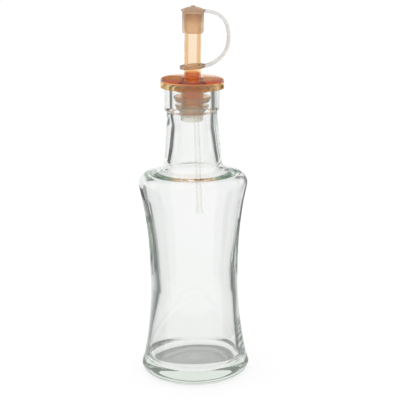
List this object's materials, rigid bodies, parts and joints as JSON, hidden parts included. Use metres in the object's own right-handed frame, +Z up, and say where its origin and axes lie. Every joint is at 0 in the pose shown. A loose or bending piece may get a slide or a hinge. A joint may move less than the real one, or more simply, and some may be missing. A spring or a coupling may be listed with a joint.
{
  "type": "oil cruet",
  "caption": "Waisted round clear-glass cruet with a long neck, closed by a push-in plastic pouring spout with a tethered push-on cap, a finned stopper and a thin hanging air tube.",
  "frame": {"origin": "centre of the round foot, on the surface that the bottle stands on", "axes": "+Z up along the bottle's axis; +X toward the cap's strap; the picture was taken from -Y"},
  "size_m": [0.0592, 0.0592, 0.2006],
  "materials": {
    "bottle_glass": "clear pressed soda-lime glass, faint green in the thick foot, gently uneven inside",
    "amber_plastic": "clear orange moulded polystyrene, polished",
    "stopper_plastic": "milky natural polyethylene, soft sheen",
    "cap_plastic": "milky natural polyethylene, soft sheen",
    "tube_plastic": "thin clear extruded tube"
  },
  "bodies": {
    "root": {"bottle": "bottle_glass", "pourer": "amber_plastic", "stopper": "stopper_plastic", "cap": "cap_plastic", "air_tube": "tube_plastic"}
  },
  "joints": []
}
